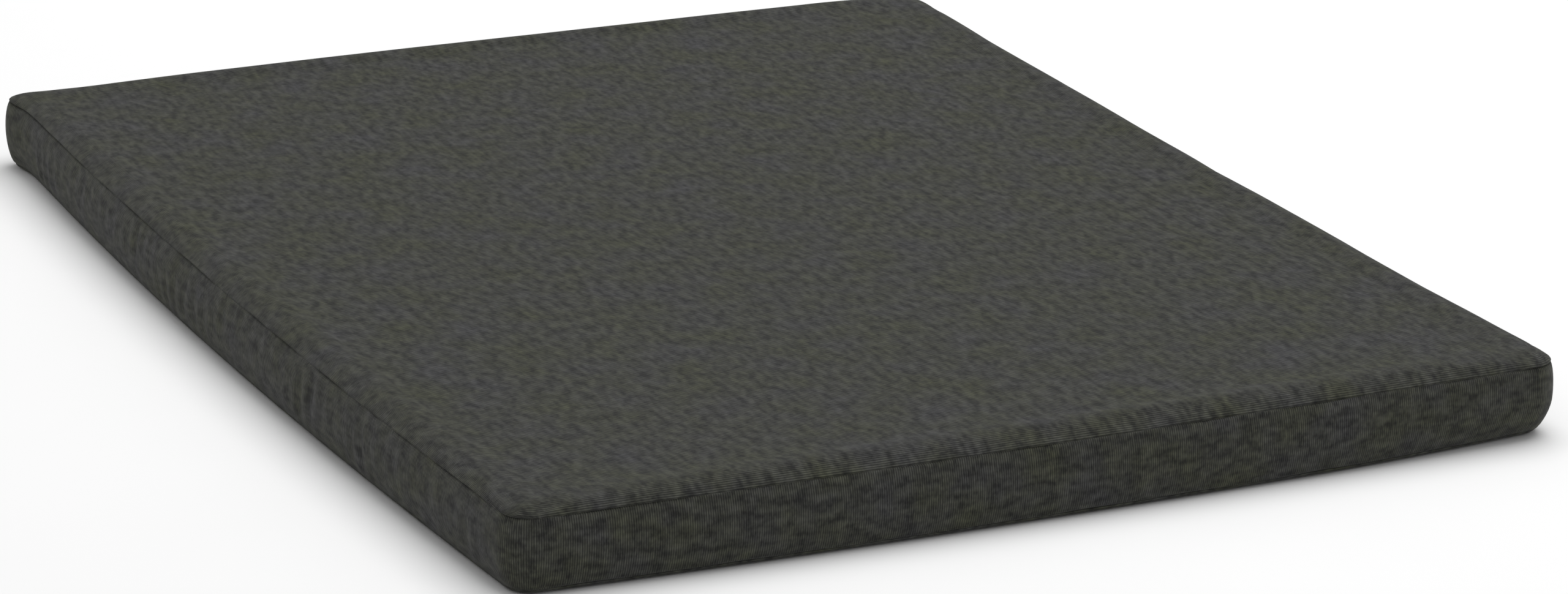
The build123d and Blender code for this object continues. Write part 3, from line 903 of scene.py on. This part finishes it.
# ZIP COILS
# Each chain is one polyester monofilament wound into a flat helix, half a turn apart from the other.
# The turns stop short of the centre line, so that the wedge of the slider passes between them.
COIL_PITCH = 0.0014
WIRE_RADIUS = 0.00027
TURN_POINTS = 8
WIRE_SIDES = 4
CHAIN_GAP = 0.00062

# Polyester monofilament: near black and glossy, with a soft moulded surface.
coil_material, tree, shader = new_material("polyester_monofilament")
place = object_place(tree)
worn = add_node(tree, "ShaderNodeTexNoise", {"Scale": 400.0, "Detail": 3.0}, {"Vector": place})
paint(tree, shader, worn.outputs["Fac"], "#191918", "#2a2a28")
gloss = add_node(tree, "ShaderNodeMapRange", {"To Min": 0.28, "To Max": 0.5}, {"Value": worn.outputs["Fac"]})
tree.links.new(gloss.outputs[0], shader.inputs["Roughness"])


def coil_piece(name, node, side):
    """One coil of the zip: side is 1 for the upper one and -1 for the lower one."""
    low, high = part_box(node)
    outer = max(abs(low.z - MID_Z), abs(high.z - MID_Z)) - WIRE_RADIUS
    centre_z, half_z = (outer + CHAIN_GAP) / 2, (outer - CHAIN_GAP) / 2
    centre_y, half_y = (low.y + high.y) / 2, (high.y - low.y) / 2 - WIRE_RADIUS
    turns = int((high.x - low.x) / COIL_PITCH) - 1
    steps = np.arange(turns * TURN_POINTS + 1) / TURN_POINTS
    angle = 2 * math.pi * steps
    start = low.x + COIL_PITCH * (0.5 if side > 0 else 1.0)
    line = np.column_stack([start + steps * COIL_PITCH, centre_y + half_y * np.sin(angle),
                            MID_Z + side * (centre_z - half_z * np.cos(angle))])
    ahead = unit(np.gradient(line, axis=0))
    first = unit(np.cross(ahead, [1.0, 0.0, 0.0]))
    points, ids = tube_rings(line, first, np.cross(ahead, first), WIRE_RADIUS, WIRE_SIDES, 0.5)
    faces = grid_faces(ids, closed=True)[:, ::-1].tolist() + [ids[0][::-1].tolist(), ids[-1].tolist()]
    mesh_piece(name, points.tolist(), faces, coil_material, node)


coil_piece("coil_upper", "zip_coil_upper", 1)
coil_piece("coil_lower", "zip_coil_lower", -1)


# ZIP STOPS
# Moulded stops over the ends of the chain: one across both coils where the zip starts, and one on each
# coil where it closes.
STOP_ROUNDING = 0.0004

# Moulded acetal: near black and satin, with the faint unevenness of a small moulding.
stop_material, tree, shader = new_material("moulded_acetal")
place = object_place(tree)
skin = add_node(tree, "ShaderNodeTexNoise", {"Scale": 900.0, "Detail": 2.0}, {"Vector": place})
paint(tree, shader, skin.outputs["Fac"], "#1a1a1a", "#242423")
raise_relief(tree, shader, skin.outputs["Fac"], 0.2, 0.0001)
shader.inputs["Roughness"].default_value = 0.4

for name, node in (("stop_bottom", "zip_bottom_stop"), ("stop_upper", "zip_top_stop_upper"),
                   ("stop_lower", "zip_top_stop_lower")):
    finished_copy(name, node, stop_material, "mattress", STOP_ROUNDING)


# ZIP SLIDER AND PULL TAB
# A die-cast zinc slider with a bridge, and a stamped tab that turns on it. Both are painted to match
# the tape, and the paint is rubbed through in places.
SLIDER_ROUNDING = 0.00025
PULL_ROUNDING = 0.0002

# Painted zinc: black satin enamel, with specks of bare grey metal where it has been rubbed.
slider_material, tree, shader = new_material("painted_zinc_casting")
place = object_place(tree)
rubbed = add_node(tree, "ShaderNodeTexNoise", {"Scale": 700.0, "Detail": 5.0}, {"Vector": place})
bare = add_node(tree, "ShaderNodeMapRange", {"From Min": 0.70, "From Max": 0.76},
                {"Value": rubbed.outputs["Fac"]})
paint(tree, shader, bare.outputs[0], "#1c1c1d", "#6d6e70")
tree.links.new(bare.outputs[0], shader.inputs["Metallic"])
shader.inputs["Roughness"].default_value = 0.38

finished_copy("slider_body", "zip_slider", slider_material, "slider", SLIDER_ROUNDING)
finished_copy("slider_pull", "zip_pull_tab", slider_material, "pull", PULL_ROUNDING)


# FLOOR, LIGHT AND CAMERA
# A pale studio floor, one large soft light high over the right side, and a long lens above the near
# left corner.
FLOOR_SIZE, FLOOR_DROP = 80.0, 0.0008
LENS = 130.66
SENSOR = 36.0
AIM = (-0.0291, -0.2088, 0.0625)
DISTANCE = 8.3182
TURN, TILT, ROLL = math.radians(26.272), math.radians(18.956), math.radians(1.370)
SOFTBOX_PLACE = (2.2, 0.8, 9.0)
SOFTBOX_SIZE = 9.0
SOFTBOX_POWER = 670.0
SKY = 0.48

bpy.ops.object.select_all(action="DESELECT")
bpy.ops.mesh.primitive_plane_add(size=FLOOR_SIZE, location=(0, 0, -FLOOR_DROP))
floor = bpy.context.object
floor.name = "studio_floor"
floor_material, tree, shader = new_material("matt_white_studio_paper")
place = object_place(tree)
grain = add_node(tree, "ShaderNodeTexNoise", {"Scale": 3.0}, {"Vector": place})
paint(tree, shader, grain.outputs["Fac"], "#fafafa", "#fcfcfc")
shader.inputs["Roughness"].default_value = 1.0
shader.inputs["Specular IOR Level"].default_value = 0.0
floor.data.materials.append(floor_material)

world = bpy.data.worlds.new("studio")
world.use_nodes = True
world.node_tree.nodes["Background"].inputs["Strength"].default_value = SKY
world.node_tree.nodes["Background"].inputs["Color"].default_value = (1, 1, 1, 1)
bpy.context.scene.world = world
softbox = bpy.data.lights.new("softbox", "AREA")
softbox.size = SOFTBOX_SIZE
softbox.energy = SOFTBOX_POWER
softbox_stand = bpy.data.objects.new("softbox", softbox)
softbox_stand.location = SOFTBOX_PLACE
softbox_stand.rotation_euler = (-Vector(SOFTBOX_PLACE)).to_track_quat("-Z", "Y").to_euler()
bpy.context.scene.collection.objects.link(softbox_stand)

lens = bpy.data.cameras.new("camera")
lens.lens = LENS
lens.sensor_width = SENSOR
lens.clip_end = 200.0
camera = bpy.data.objects.new("camera", lens)
look = Vector((math.sin(TURN) * math.cos(TILT), math.cos(TURN) * math.cos(TILT), -math.sin(TILT)))
camera.location = Vector(AIM) - look * DISTANCE
camera.rotation_mode = "QUATERNION"
camera.rotation_quaternion = look.to_track_quat("-Z", "Y") @ Quaternion((0, 0, 1), ROLL)
bpy.context.scene.collection.objects.link(camera)
bpy.context.scene.camera = camera
bpy.context.scene.view_settings.view_transform = "Standard"

bpy.context.view_layer.update()
